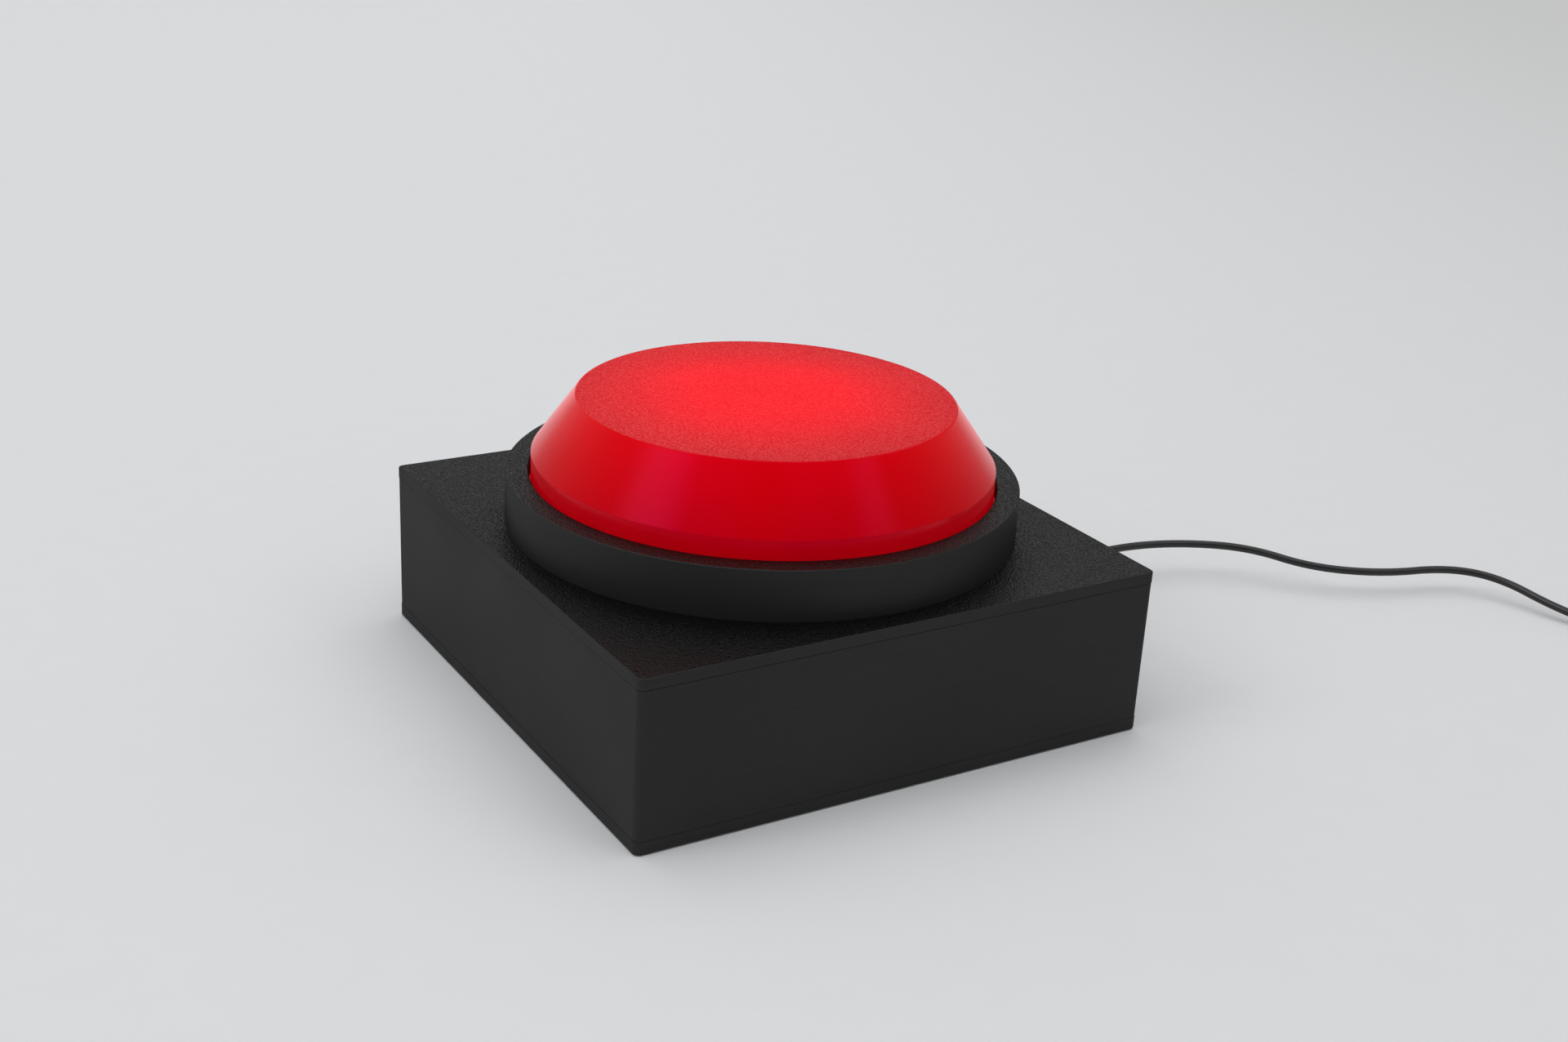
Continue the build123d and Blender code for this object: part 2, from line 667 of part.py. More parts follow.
# ---- Every sub-part under its own name --------------------------------------------------------
ONE_OFF = [
    housing, base_plate, base_screws, thread_inserts, rubber_feet,
    button_ring, collar_screws, guide_bushes, bumper_pads,
    button_dome, button_carrier, carrier_screws, guide_posts, switch_pushers,
    led_board, led_chips, led_socket, led_standoffs, led_screws, led_wires,
    controller_board, board_spacers, board_chips, board_cans, board_headers, board_screws,
    cable_run, cable_coil, coil_tie, cable_tail,
    plug_boot, plug_body, plug_shell, plug_tongue, plug_contacts,
    cable_grommet, cable_inner, lead_connector, clamp_base, cable_clamp, clamp_screws,
]
PAIRED = [switch_case, switch_lever, switch_plunger, switch_bracket]
SHARED = [switch_blades, switch_pin, switch_screws, switch_nuts, bracket_screws, switch_wires]


def save(name, pieces):
    shape = Compound(children=pieces) if isinstance(pieces, list) else pieces
    export_step(shape, f"parts/{name}.step")


def main():
    os.makedirs("parts", exist_ok=True)
    for make in ONE_OFF:
        save(make.__name__, make())
    for make in PAIRED:
        right = make()
        save(f"{make.__name__}_right", right)
        save(f"{make.__name__}_left", left_of(right))
    for make in SHARED:
        right = make()
        right = right if isinstance(right, list) else [right]
        save(f"{make.__name__.removesuffix('s')}s", right + left_of(right))
    for number, (x, y) in enumerate(POSTS, start=1):
        save(f"return_spring_{number}", return_spring(x, y))


main()
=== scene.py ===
"""Looks of the quiz buzzer: its finishes, free lead and return springs, the floor and the light."""
import math

import bpy
from mathutils import Matrix, Vector


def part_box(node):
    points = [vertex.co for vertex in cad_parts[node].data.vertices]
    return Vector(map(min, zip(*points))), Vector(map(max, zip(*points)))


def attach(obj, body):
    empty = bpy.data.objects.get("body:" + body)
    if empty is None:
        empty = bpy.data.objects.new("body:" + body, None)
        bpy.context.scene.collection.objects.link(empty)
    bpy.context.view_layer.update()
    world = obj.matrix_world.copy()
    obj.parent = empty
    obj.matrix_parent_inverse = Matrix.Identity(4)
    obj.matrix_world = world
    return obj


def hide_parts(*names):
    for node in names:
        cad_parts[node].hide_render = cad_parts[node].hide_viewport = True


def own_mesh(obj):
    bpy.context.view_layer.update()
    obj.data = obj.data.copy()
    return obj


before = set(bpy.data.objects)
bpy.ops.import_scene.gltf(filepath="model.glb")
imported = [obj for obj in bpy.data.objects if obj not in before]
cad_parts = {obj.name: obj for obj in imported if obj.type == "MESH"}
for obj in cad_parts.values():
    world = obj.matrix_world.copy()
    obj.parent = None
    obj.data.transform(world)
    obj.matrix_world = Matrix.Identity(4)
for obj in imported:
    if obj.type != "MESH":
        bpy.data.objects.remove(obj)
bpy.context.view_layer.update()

MM = 0.001

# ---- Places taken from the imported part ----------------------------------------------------
DOME_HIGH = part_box("button_dome")[1]
DOME_TOP_R = 67.2 * MM       # radius of the button's flat top
CONE_FOOT_Z = 85.3 * MM      # where the button's cone meets its upright skirt

# ---- Surface grain ------------------------------------------------------------------------
LAYER = 0.2 * MM             # height of one printed layer
PEBBLE = 0.55 * MM           # size of the pebbles on faces printed against a textured sheet

# ---- The free lead ------------------------------------------------------------------------
LEAD_DIAMETER = 3.2 * MM
LEAD_ROUTE = [               # in millimetres, from the box to the start of the coil
    (101.5, 0, 15.0),
    (124, 1, 15.2),
    (154, 6, 15.6),
    (182, 9.5, 15.1),
    (209, 3, 14.9),
    (234, -12, 14.2),
    (249, -34, 11.0),
    (275, -50, 9.9),
    (305, -57, 10.1),
    (321, -72, 8.6),
    (325, -98, 4.8),
    (333, -120, 2.9),
    (340, -137, 2.2),
]
COIL_MEAN_R = 6 * LEAD_DIAMETER
COIL_STEP = 3.25 * MM        # spacing of the turns, sideways and upwards
COIL_COLUMNS = 6
COIL_CLIMB = 0.25            # share of a turn spent climbing to the upper layer
POINTS_A_TURN = 16
TAIL_LENGTH = 24 * MM        # from the coil to the plug's boot
TAIL_END_Z = 4.1 * MM

# ---- The return springs -------------------------------------------------------------------
SPRING_WIRE_R = 0.5 * MM
SPRING_TURNS = 7
POINTS_A_SPRING_TURN = 24

# ---- Camera -------------------------------------------------------------------------------
LENS = 46.0                  # on the 36 mm wide sensor
TARGET = Vector((47.0, 59.3, 30.0)) * MM
DISTANCE = 803.7 * MM
AZIMUTH, ELEVATION, ROLL = (math.radians(a) for a in (-32.02, 21.6, 3.13))

# ---- Floor and light ----------------------------------------------------------------------
FLOOR_HALF = 12.0            # half the side of the floor, in metres
TENT_LIGHT = 0.45            # the even light that comes from everywhere
TENT_COLOUR = (0.985, 0.99, 1.0, 1)
BACKDROP = (0.67, 0.69, 0.71, 1)
SOFT_BOXES = [               # bearing, height, half width and softness in degrees; added light
    (174, 41, 10, 6, 3.3),        # the left soft box
    (307, 40, 6, 4, 1.5),         # the right soft box
    (240, 50, 7, 9, -0.5),        # dark above the camera
    (242, 22, 16, 12, -0.34),     # the dark opening behind the camera
    (0, 90, 34, 22, 0.90),        # the tent's lighter roof
    (190, 24, 44, 28, 0.04),      # its left side, a little lighter
    (340, 26, 44, 28, -0.09),     # its right side, a little darker
]


# ---- Material helpers ---------------------------------------------------------------------
class Nodes:
    """Short calls that add nodes to a node tree and link them."""

    def __init__(self, tree):
        self.tree = tree

    def node(self, kind, inputs=(), **properties):
        """Adds a node. inputs maps a socket's name or number to a value or to another socket."""
        made = self.tree.nodes.new("ShaderNode" + kind)
        for name, value in properties.items():
            setattr(made, name, value)
        for socket, value in dict(inputs).items():
            self.feed(made.inputs[socket], value)
        return made

    def feed(self, socket, value):
        if isinstance(value, bpy.types.NodeSocket):
            self.tree.links.new(value, socket)
        else:
            socket.default_value = value

    def math(self, operation, a, b=0.0, clamp=False):
        inputs = {0: a, 1: b}
        return self.node("Math", inputs, operation=operation, use_clamp=clamp).outputs[0]

    def between(self, value, low, high, start=0.0, end=1.0):
        """Turns value from low..high into start..end, with a smooth step."""
        inputs = {"Value": value, "From Min": low, "From Max": high,
                  "To Min": start, "To Max": end}
        return self.node("MapRange", inputs, interpolation_type="SMOOTHSTEP").outputs["Result"]

    def mix(self, share, a, b, blend="MIX"):
        """The colour between a and b, or their product with blend="MULTIPLY"."""
        made = self.node("Mix", data_type="RGBA", blend_type=blend)
        for socket, value in (("Factor_Float", share), ("A_Color", a), ("B_Color", b)):
            self.feed(next(s for s in made.inputs if s.identifier == socket), value)
        return next(s for s in made.outputs if s.identifier == "Result_Color")

    def blend(self, share, a, b):
        """The number between a and b."""
        return self.node("Mix", {0: share, 2: a, 3: b}).outputs[0]


class Finish(Nodes):
    """A procedural material: a principled shader with the nodes that feed it."""

    def __init__(self, name, **settings):
        self.material = bpy.data.materials.new(name + "_look")
        self.material.use_nodes = True
        super().__init__(self.material.node_tree)
        self.shader = self.tree.nodes["Principled BSDF"]
        self.set(**settings)

    def set(self, **inputs):
        for words, value in inputs.items():
            self.feed(self.shader.inputs[words.replace("_", " ")], value)

    def place(self, scale=(1, 1, 1), turn=(0, 0, 0)):
        """The point on the piece, in metres along the part's axes, times scale."""
        at = self.node("TexCoord").outputs["Object"]
        mapped = self.node("Mapping", {"Vector": at, "Scale": scale, "Rotation": turn})
        return mapped.outputs["Vector"]

    def noise(self, at, scale, detail=3.0, roughness=0.5):
        inputs = {"Vector": at, "Scale": scale, "Detail": detail, "Roughness": roughness}
        return self.node("TexNoise", inputs).outputs["Fac"]

    def cells(self, at, scale, feature="F1"):
        inputs = {"Vector": at, "Scale": scale}
        return self.node("TexVoronoi", inputs, feature=feature).outputs["Distance"]

    def ramp(self, value, stops):
        """A colour for each value: stops is a list of (value, colour)."""
        made = self.node("ValToRGB", {"Fac": value})
        elements = made.color_ramp.elements
        while len(elements) < len(stops):
            elements.new(0.5)
        for element, (at, colour) in zip(elements, stops):
            element.position = at
            element.color = colour
        return made.outputs["Color"]

    def bump(self, height, distance, strength=1.0, before=None):
        inputs = {"Height": height, "Distance": distance, "Strength": strength}
        if before is not None:
            inputs["Normal"] = before
        return self.node("Bump", inputs).outputs["Normal"]

    def facing_up(self):
        """1 on faces that look up or down, 0 on upright and sloping ones."""
        normal = self.node("NewGeometry").outputs["Normal"]
        upright = self.node("SeparateXYZ", {"Vector": normal}).outputs["Z"]
        return self.between(self.math("ABSOLUTE", upright), 0.93, 0.98)


def grey(value, alpha=1.0):
    return (value, value, value, alpha)


def layer_lines(look):
    """Height of printed layers: long level streaks, and the fine wave of the layers."""
    streaks = look.noise(look.place(scale=(14, 14, 1800)), 1.0, detail=2.0)
    level = look.node("SeparateXYZ", {"Vector": look.place()}).outputs["Z"]
    wave = look.math("SINE", look.math("MULTIPLY", level, 2 * math.pi / LAYER))
    return look.math("ADD", streaks, look.math("MULTIPLY", wave, 0.12))


def pebbles(look):
    """Height of the pebbled grain that a textured print sheet leaves."""
    at = look.place()
    fine = look.noise(at, 1 / PEBBLE, detail=1.0)
    cells = look.cells(at, 0.8 / PEBBLE, feature="SMOOTH_F1")
    return look.math("ADD", look.math("MULTIPLY", fine, 0.6), cells)


# ---- Finishes, one function for each material slot ------------------------------------------
def printed_black():
    """Printed black plastic: fine layers on the walls, and pebbled faces that look up."""
    look = Finish("printed_black", IOR=1.36, Specular_IOR_Level=0.45, Anisotropic=0.7)
    level = look.facing_up()
    grain = pebbles(look)
    lines = layer_lines(look)
    patches = look.noise(look.place(), 18.0, detail=2.0)
    side = look.mix(lines, (0.0165, 0.0162, 0.0166, 1), (0.0225, 0.0222, 0.0226, 1))
    # The faces that look up get a darker colour than the walls of the same plastic: painted shade.
    # Their pebbled grain is real, and its lighter dots in this colour are painted glints.
    top = look.mix(grain, grey(0.0003), grey(0.0045))
    look.set(Base_Color=look.mix(level, side, top))
    side_gloss = look.between(patches, 0.3, 0.7, 0.6, 0.66)
    top_gloss = look.between(grain, 0.5, 0.85, 0.16, 0.56)
    look.set(Roughness=look.blend(level, side_gloss, top_gloss))
    upright = look.math("SUBTRACT", 1.0, level)
    side_bump = look.bump(look.math("MULTIPLY", lines, upright), 0.02 * MM, 0.5)
    look.set(Normal=look.bump(look.math("MULTIPLY", grain, level), 0.3 * MM, 1.0, side_bump))
    # Gloss spreads up and down the walls, across the printed layers.
    around = look.node("Tangent", direction_type="RADIAL", axis="Z").outputs["Tangent"]
    look.set(Tangent=around)
    return look.material


def dome_glow(look, x, y, z, level, grain, cloud):
    """The painted glow on the button, standing in for the lamps' light from inside: brightest in
    the middle of its top.
    """
    squares = look.math("ADD", look.math("MULTIPLY", x, x), look.math("MULTIPLY", y, y))
    outward = look.math("DIVIDE", look.math("SQRT", squares), DOME_TOP_R)
    # Painted glow on the flat top, falling off towards its rim.
    top = look.ramp(outward, [
        (0.0, (0.92, 0.014, 0.018, 1)),
        (0.36, (0.92, 0.015, 0.02, 1)),
        (0.54, (0.84, 0.018, 0.022, 1)),
        (0.72, (0.69, 0.022, 0.025, 1)),
        (0.88, (0.60, 0.026, 0.028, 1)),
        (1.0, (0.54, 0.026, 0.028, 1)),
    ])
    # Painted glow on the cone, darker towards its foot and on the skirt below it: painted shade.
    up = {"Value": z, "From Min": CONE_FOOT_Z, "From Max": DOME_HIGH.z}
    side = look.ramp(look.node("MapRange", up).outputs[0], [
        (0.0, (0.30, 0.0, 0.003, 1)),
        (0.02, (0.35, 0.0, 0.001, 1)),
        (0.5, (0.44, 0.0, 0.001, 1)),
        (1.0, (0.535, 0.0, 0.001, 1)),
    ])
    glow = look.mix(level, side, top)
    mottle = look.mix(look.between(cloud, 0.3, 0.7), grey(0.94), grey(1.0))
    # The pebbles of the top are real grain; in the glow they get painted glints as whitish dots and
    # painted shade as darker dots.
    glint_dots, pebble_shade_dots = (1.06, 1.9, 1.7, 1), (0.90, 0.25, 0.4, 1)
    dots = look.mix(look.between(grain, 0.5, 0.85), glint_dots, pebble_shade_dots)
    speckle = look.mix(level, grey(1.0), dots)
    glow = look.mix(1.0, look.mix(1.0, glow, mottle, "MULTIPLY"), speckle, "MULTIPLY")
    # Painted shade: the glow is a little darker on one side of the button than on the other.
    across = look.math("SUBTRACT", look.math("MULTIPLY", y, 0.87), look.math("MULTIPLY", x, 0.5))
    painted_side_shade = look.between(across, -DOME_HIGH.x, DOME_HIGH.x, 0.92, 1.03)
    glow = look.node("VectorMath", {0: glow, "Scale": painted_side_shade}, operation="SCALE")
    return glow.outputs["Vector"]


def dome_red():
    """Red translucent plastic, smooth on its cone and pebbled on top, with a painted glow standing
    in for the light from inside.
    """
    look = Finish("dome_red", IOR=1.38, Specular_IOR_Level=0.35,
                  Specular_Tint=(1.0, 0.03, 0.33, 1), Emission_Strength=1.0)
    at = look.node("SeparateXYZ", {"Vector": look.place()})
    x, y, z = (at.outputs[k] for k in "XYZ")
    level = look.facing_up()
    grain = pebbles(look)
    cloud = look.noise(look.place(), 24.0, detail=2.0)
    # The glow is painted: emission on the button itself, standing in for the light of the lamps
    # inside.
    look.set(Emission_Color=dome_glow(look, x, y, z, level, grain, cloud))
    look.set(Base_Color=look.mix(cloud, (0.16, 0.0, 0.001, 1), (0.20, 0.0, 0.001, 1)))
    side_gloss = look.between(cloud, 0.3, 0.7, 0.16, 0.22)
    look.set(Roughness=look.blend(level, side_gloss, 0.6))
    depth = look.blend(level, 0.02 * MM, 0.5 * MM)
    look.set(Normal=look.bump(look.math("MULTIPLY", grain, depth), 1.0))
    return look.material


def printed_inner():
    """Printed plastic inside the box, a little paler than the outside."""
    look = Finish("printed_inner", Specular_IOR_Level=0.4)
    lines = layer_lines(look)
    look.set(Base_Color=look.mix(lines, grey(0.018), grey(0.03)))
    look.set(Roughness=look.between(lines, 0.3, 0.8, 0.45, 0.58))
    look.set(Normal=look.bump(lines, 0.03 * MM, 0.6))
    return look.material


def speckled(name, dark, light, size, gloss, depth, **settings):
    """A moulded finish: two close colours in fine speckles, with matching gloss and bump."""
    look = Finish(name, **settings)
    at = look.place()
    fine = look.noise(at, 1 / size, detail=4.0, roughness=0.6)
    broad = look.noise(at, 0.08 / size, detail=2.0)
    both = look.math("ADD", look.math("MULTIPLY", fine, 0.6), look.math("MULTIPLY", broad, 0.4))
    look.set(Base_Color=look.mix(look.between(both, 0.35, 0.65), dark, light))
    look.set(Roughness=look.between(both, 0.35, 0.65, gloss[0], gloss[1]))
    look.set(Normal=look.bump(fine, depth, 0.5))
    return look


def rubber_black():
    return speckled("rubber_black", grey(0.012), grey(0.024), 0.3 * MM, (0.62, 0.8), 0.02 * MM,
                    Specular_IOR_Level=0.3).material


def cable_black():
    return speckled("cable_black", grey(0.006), grey(0.012), 0.4 * MM, (0.26, 0.38), 0.01 * MM,
                    Specular_IOR_Level=0.5).material


def metal(name, dark, light, size, gloss, streak=(1, 1, 1)):
    """A bare metal with fine marks, drawn out along the axes where streak is small."""
    look = Finish(name, Metallic=1.0)
    marks = look.noise(look.place(scale=streak), 1 / size, detail=5.0, roughness=0.65)
    look.set(Base_Color=look.mix(look.between(marks, 0.3, 0.7), dark, light))
    look.set(Roughness=look.between(marks, 0.3, 0.7, gloss[0], gloss[1]))
    look.set(Normal=look.bump(marks, 0.01 * MM, 0.3))
    return look.material


def screw_steel():
    return metal("screw_steel", (0.42, 0.42, 0.43, 1), (0.62, 0.62, 0.64, 1), 0.25 * MM,
                 (0.22, 0.4))


def spring_steel():
    return metal("spring_steel", (0.46, 0.46, 0.48, 1), (0.66, 0.66, 0.68, 1), 0.2 * MM,
                 (0.18, 0.32))


def post_steel():
    return metal("post_steel", (0.6, 0.6, 0.62, 1), (0.76, 0.76, 0.78, 1), 0.3 * MM, (0.1, 0.2),
                 streak=(0.15, 0.15, 3))


def brass():
    return metal("brass", (0.62, 0.42, 0.15, 1), (0.83, 0.62, 0.28, 1), 0.2 * MM, (0.2, 0.35))


def can_metal():
    return metal("can_metal", (0.5, 0.51, 0.52, 1), (0.72, 0.73, 0.74, 1), 0.3 * MM, (0.2, 0.34),
                 streak=(0.1, 2, 2))


def contact_gold():
    return metal("contact_gold", (0.72, 0.5, 0.16, 1), (0.92, 0.7, 0.3, 1), 0.2 * MM, (0.14, 0.26))


def bush_plastic():
    return speckled("bush_plastic", (0.66, 0.63, 0.55, 1), (0.74, 0.72, 0.65, 1), 0.3 * MM,
                    (0.36, 0.5), 0.01 * MM, Subsurface_Weight=0.1).material


def header_plastic():
    return speckled("header_plastic", (0.62, 0.6, 0.52, 1), (0.72, 0.7, 0.63, 1), 0.25 * MM,
                    (0.34, 0.46), 0.008 * MM).material


def board(name, mask, mask_light, edge):
    """A circuit board: tracks under its mask, bare plated holes, and the laminate at its edge."""
    look = Finish(name, Specular_IOR_Level=0.55)
    at = look.place()
    level = look.facing_up()
    tracks = look.node("TexBrick", {
        "Vector": look.place(turn=(0, 0, math.radians(45))), "Scale": 1.0, "Color1": grey(1.0),
        "Color2": grey(0.55), "Mortar": grey(0.0), "Mortar Size": 0.35 * MM,
        "Brick Width": 9 * MM, "Row Height": 1.5 * MM})
    fine = look.noise(at, 3000.0)
    face = look.mix(tracks.outputs["Color"], mask, mask_light)
    spots = look.between(look.cells(at, 170.0), 0.09, 0.12, 1.0, 0.0)
    spots = look.math("MULTIPLY", spots, level)
    face = look.mix(spots, face, (0.75, 0.62, 0.34, 1))
    look.set(Base_Color=look.mix(level, look.mix(fine, edge, grey(0.4)), face))
    look.set(Metallic=spots)
    look.set(Roughness=look.between(fine, 0.3, 0.7, 0.24, 0.36))
    raised = look.math("MULTIPLY", tracks.outputs["Fac"], -1.0)
    look.set(Normal=look.bump(look.math("MULTIPLY", raised, level), 0.03 * MM, 0.5))
    return look.material


def board_green():
    return board("board_green", (0.004, 0.055, 0.018, 1), (0.008, 0.10, 0.035, 1),
                 (0.32, 0.28, 0.14, 1))


def board_white():
    return board("board_white", (0.7, 0.7, 0.68, 1), (0.8, 0.8, 0.78, 1),
                 (0.55, 0.5, 0.38, 1))


def chip_black():
    return speckled("chip_black", grey(0.014), grey(0.028), 0.12 * MM, (0.5, 0.64),
                    0.01 * MM).material


def led_red():
    """A lamp's clear top over its glowing red die."""
    look = speckled("led_red", (0.75, 0.08, 0.06, 1), (0.85, 0.14, 0.1, 1), 0.3 * MM, (0.2, 0.3),
                    0.005 * MM, Emission_Strength=4.0)
    level = look.facing_up()
    core = look.noise(look.place(), 900.0, detail=1.0)
    lit = look.mix(core, (1.0, 0.02, 0.02, 1), (1.0, 0.10, 0.06, 1))
    look.set(Emission_Color=look.mix(level, (0.4, 0.004, 0.004, 1), lit))
    return look.material


def switch_black():
    return speckled("switch_black", grey(0.010), grey(0.018), 0.2 * MM, (0.3, 0.42),
                    0.01 * MM).material


def plunger_red():
    return speckled("plunger_red", (0.42, 0.012, 0.012, 1), (0.52, 0.022, 0.02, 1), 0.2 * MM,
                    (0.28, 0.4), 0.008 * MM).material


def wire_red():
    return speckled("wire_red", (0.36, 0.01, 0.01, 1), (0.5, 0.018, 0.016, 1), 0.4 * MM,
                    (0.34, 0.48), 0.01 * MM).material


def strap_fabric():
    """Black hook-and-loop tape: a fine weave under short looped fuzz."""
    look = Finish("strap_fabric", Sheen_Weight=0.4, Sheen_Roughness=0.5, Specular_IOR_Level=0.2)
    at = look.place()
    fuzz = look.noise(at, 4200.0, detail=6.0, roughness=0.7)
    loops = look.cells(at, 2400.0)
    height = look.math("ADD", fuzz, loops)
    look.set(Base_Color=look.mix(height, grey(0.006), grey(0.03)))
    look.set(Roughness=look.between(fuzz, 0.3, 0.7, 0.78, 0.95))
    look.set(Normal=look.bump(height, 0.12 * MM, 0.8))
    return look.material


FINISHES = [
    printed_black, dome_red, printed_inner, rubber_black, cable_black, screw_steel, spring_steel,
    post_steel, brass, bush_plastic, header_plastic, board_green, board_white, chip_black,
    can_metal, led_red, switch_black, plunger_red, wire_red, contact_gold, strap_fabric,
]


def finish_cad_nodes(looks):
    """Gives every CAD piece the finish of its own material slot."""
    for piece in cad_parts.values():
        for place in piece.material_slots:
            place.material = looks[place.material.name.split(".")[0]]


# ---- The free lead ------------------------------------------------------------------------
def lead_frame():
    """The lead's last free point, its heading there, and the coil's middle and outer radius."""
    before, last = (Vector(p) * MM for p in LEAD_ROUTE[-2:])
    heading = math.atan2(last.y - before.y, last.x - before.x)
    outer = COIL_MEAN_R + COIL_STEP * (COIL_COLUMNS - 1) / 2
    middle = last + outer * Vector((-math.sin(heading), math.cos(heading), 0))
    return last, heading, middle, outer


def coil_points():
    """The turns: a spiral in on the floor, a climb at the middle, and a spiral out on top of it."""
    _, heading, middle, outer = lead_frame()
    inward = COIL_COLUMNS - 1
    turns = 2 * inward
    points = []
    for i in range(1, turns * POINTS_A_TURN + 1):
        turn = i / POINTS_A_TURN
        climbed = min(max((turn - inward) / COIL_CLIMB, 0), 1)
        column = turn if turn <= inward else inward - max(turn - inward - COIL_CLIMB, 0)
        radius = (outer - COIL_STEP * column) / math.cos(math.pi / POINTS_A_TURN)
        angle = heading - math.pi / 2 + 2 * math.pi * turn
        ring = radius * Vector((math.cos(angle), math.sin(angle), 0))
        points.append(middle + ring + Vector((0, 0, COIL_STEP * climbed)))
    return points


def tail_points():
    """The straight end, down from the coil's upper layer to the plug's boot."""
    last, heading, _, _ = lead_frame()
    ahead = Vector((math.cos(heading), math.sin(heading), 0))
    top = last.z + COIL_STEP
    points = []
    halfway = (top + TAIL_END_Z) / 2
    for share, z in ((0.3, top), (0.62, halfway), (0.85, TAIL_END_Z), (1.0, TAIL_END_Z)):
        point = last + ahead * TAIL_LENGTH * share
        point.z = z
        points.append(point)
    return points


def lead(look):
    """The lead as one cord: its free run, its put-away coil and the tail to the plug."""
    curve = bpy.data.curves.new("lead", "CURVE")
    curve.dimensions = "3D"
    curve.bevel_depth = LEAD_DIAMETER / 2
    curve.bevel_resolution = 5
    curve.resolution_u = 8
    curve.use_fill_caps = True
    curve.materials.append(look)
    points = [Vector(p) * MM for p in LEAD_ROUTE] + coil_points() + tail_points()
    spline = curve.splines.new("NURBS")
    spline.points.add(len(points) - 1)
    for control, point in zip(spline.points, points):
        control.co = (*point, 1.0)
    spline.order_u = 3
    spline.use_endpoint_u = True
    piece = bpy.data.objects.new("lead", curve)
    bpy.context.scene.collection.objects.link(piece)
    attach(piece, "base")
    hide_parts("cable_run", "cable_coil", "cable_tail")
    return piece


# ---- The return springs -------------------------------------------------------------------
def spring(number, look):
    """A coil spring with closed ends, in its CAD node's place."""
    low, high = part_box(f"return_spring_{number}")
    centre = (low + high) / 2
    mean_r = (high.x - low.x) / 2 - SPRING_WIRE_R
    height = high.z - low.z - 2 * SPRING_WIRE_R
    curve = bpy.data.curves.new("spring", "CURVE")
    curve.dimensions = "3D"
    curve.bevel_depth = SPRING_WIRE_R
    curve.bevel_resolution = 3
    curve.use_fill_caps = True
    spline = curve.splines.new("POLY")
    count = SPRING_TURNS * POINTS_A_SPRING_TURN
    spline.points.add(count)
    closed = 2 * SPRING_WIRE_R / height      # the end turns lie on their neighbours
    for i, control in enumerate(spline.points):
        turn = i / POINTS_A_SPRING_TURN
        open_turns = (turn - 1) / (SPRING_TURNS - 2)
        rise = closed * min(turn, 1) + (1 - 2 * closed) * min(max(open_turns, 0), 1)
        rise += closed * max(turn - SPRING_TURNS + 1, 0)
        angle = 2 * math.pi * turn
        control.co = (centre.x + mean_r * math.cos(angle), centre.y + mean_r * math.sin(angle),
                      low.z + SPRING_WIRE_R + height * rise, 1.0)
    shape = bpy.data.objects.new("spring_line", curve)
    mesh = bpy.data.meshes.new_from_object(shape)
    bpy.data.objects.remove(shape)
    mesh.name = f"spring_{number}"
    mesh.materials.clear()
    mesh.materials.append(look)
    for polygon in mesh.polygons:
        polygon.use_smooth = True
    piece = bpy.data.objects.new(f"spring_{number}", mesh)
    bpy.context.scene.collection.objects.link(piece)
    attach(piece, "base")
    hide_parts(f"return_spring_{number}")
    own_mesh(piece)
    return piece


# ---- Floor, light and camera ---------------------------------------------------------------
def floor():
    """A pale paper floor with painted shade that gets darker towards the far right, where the light
    falls off.
    """
    mesh = bpy.data.meshes.new("floor")
    corners = [(x * FLOOR_HALF, y * FLOOR_HALF, 0) for x, y in ((-1, -1), (1, -1), (1, 1), (-1, 1))]
    mesh.from_pydata(corners, [], [(0, 1, 2, 3)])
    look = Finish("paper", Roughness=0.9, Specular_IOR_Level=0.2)
    fibres = look.noise(look.place(), 60.0, detail=4.0)
    paper = look.mix(fibres, (0.79, 0.80, 0.815, 1), (0.81, 0.82, 0.83, 1))
    at = look.node("SeparateXYZ", {"Vector": look.place()})
    # Painted shade: the floor's colour darkens along this line, standing in for the light falling
    # off.
    along = look.math("SUBTRACT", at.outputs["X"], look.math("MULTIPLY", at.outputs["Y"], 0.45))
    painted_falloff = look.mix(look.between(along, -0.2, 1.6), grey(1.01), (0.81, 0.80, 0.78, 1))
    look.set(Base_Color=look.mix(1.0, paper, painted_falloff, "MULTIPLY"))
    mesh.materials.append(look.material)
    piece = bpy.data.objects.new("floor", mesh)
    bpy.context.scene.collection.objects.link(piece)


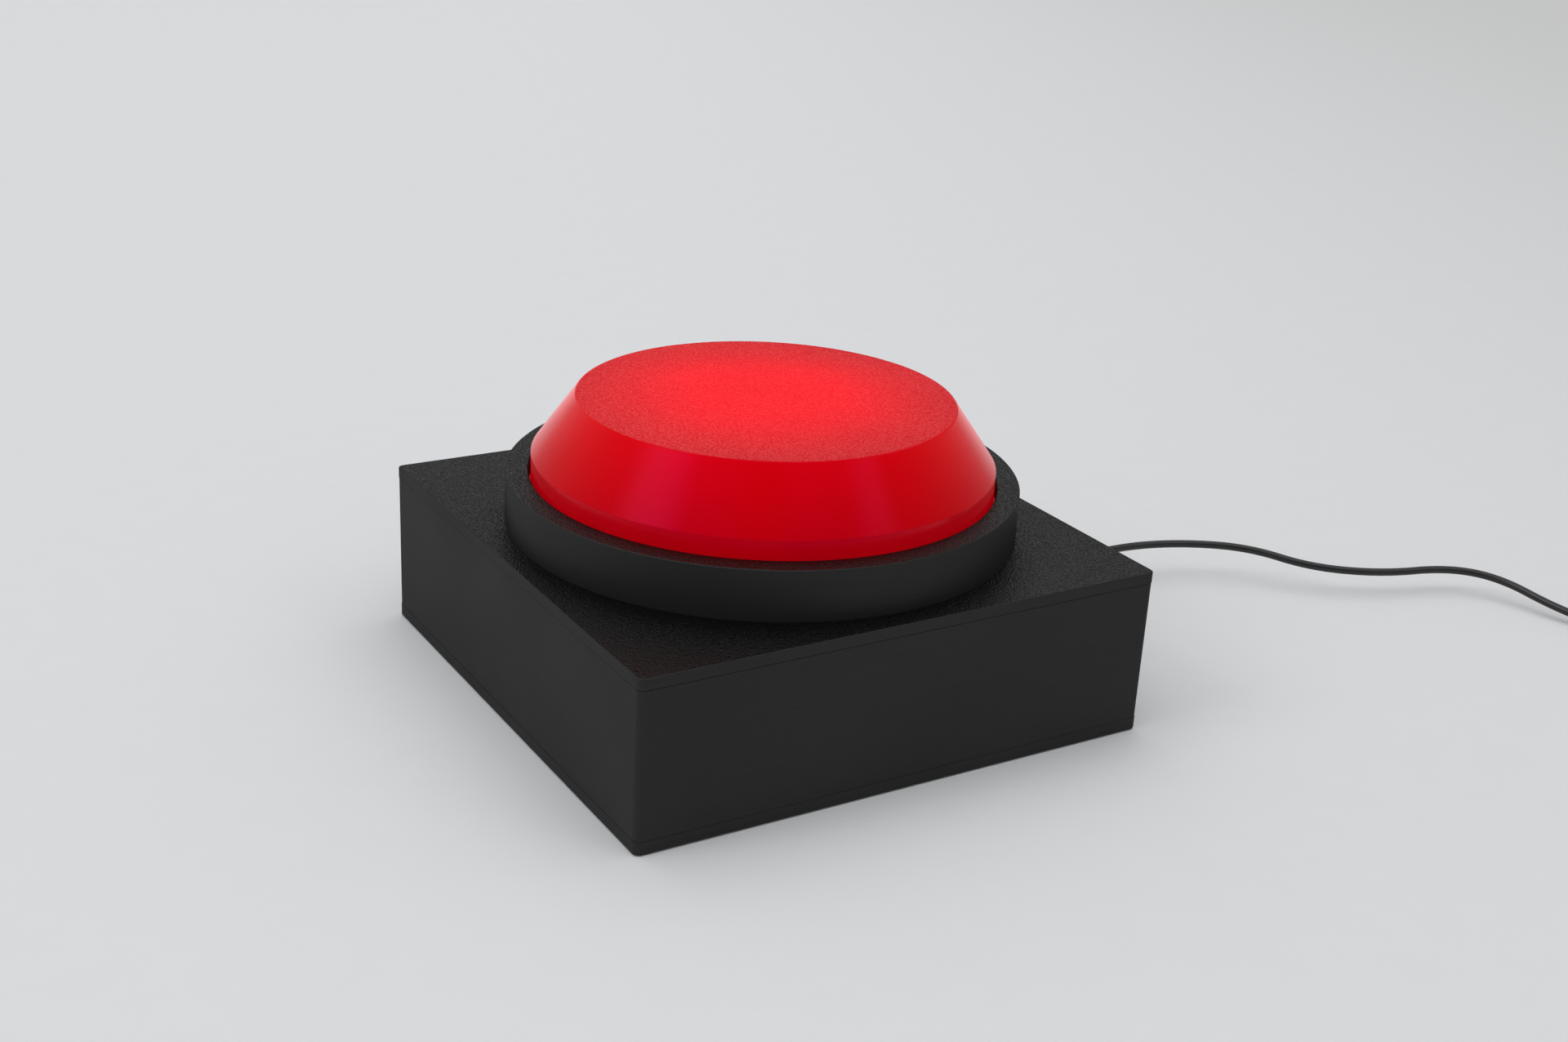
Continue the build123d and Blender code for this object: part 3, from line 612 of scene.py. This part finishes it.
def heading(bearing, height):
    """The direction at an angle round from +X and an angle up, both in degrees."""
    bearing, height = math.radians(bearing), math.radians(height)
    flat = math.cos(height)
    return Vector((math.cos(bearing) * flat, math.sin(bearing) * flat, math.sin(height)))


def room():
    """A pale tent of even light with its soft boxes; the camera sees a plain backdrop instead."""
    world = bpy.data.worlds.new("room")
    bpy.context.scene.world = world
    world.use_nodes = True
    sky = Nodes(world.node_tree)
    towards = sky.node("TexCoord").outputs["Generated"]
    light = TENT_LIGHT
    for bearing, height, width, soft, change in SOFT_BOXES:
        inputs = {0: towards, 1: heading(bearing, height)}
        close = sky.node("VectorMath", inputs, operation="DOT_PRODUCT").outputs["Value"]
        inside, outside = (math.cos(math.radians(width + edge)) for edge in (-soft, soft))
        light = sky.math("ADD", light, sky.between(close, outside, inside, 0.0, change))
    light = sky.mix(1.0, TENT_COLOUR, light, "MULTIPLY")
    from_camera = sky.node("LightPath").outputs["Is Camera Ray"]
    background = world.node_tree.nodes["Background"]
    sky.feed(background.inputs["Color"], sky.mix(from_camera, light, BACKDROP))


def camera():
    """The camera, which looks at TARGET and is rolled a little."""
    flat = math.cos(ELEVATION)
    back = Vector((math.sin(AZIMUTH) * flat, -math.cos(AZIMUTH) * flat, math.sin(ELEVATION)))
    level = Vector((0, 0, 1)).cross(back).normalized()
    above = back.cross(level)
    right = level * math.cos(ROLL) + above * math.sin(ROLL)
    up = above * math.cos(ROLL) - level * math.sin(ROLL)
    data = bpy.data.cameras.new("camera")
    data.lens = LENS
    data.clip_start = 0.01
    eye = bpy.data.objects.new("camera", data)
    turned = Matrix((right, up, back)).transposed().to_4x4()
    eye.matrix_world = Matrix.Translation(TARGET + back * DISTANCE) @ turned
    bpy.context.scene.collection.objects.link(eye)
    bpy.context.scene.camera = eye


def stage():
    floor()
    room()
    camera()
    bpy.context.scene.view_settings.view_transform = "Standard"


def main():
    looks = {make.__name__: make() for make in FINISHES}
    finish_cad_nodes(looks)
    lead(looks["cable_black"])
    for number in range(1, 5):
        spring(number, looks["spring_steel"])
    stage()


main()
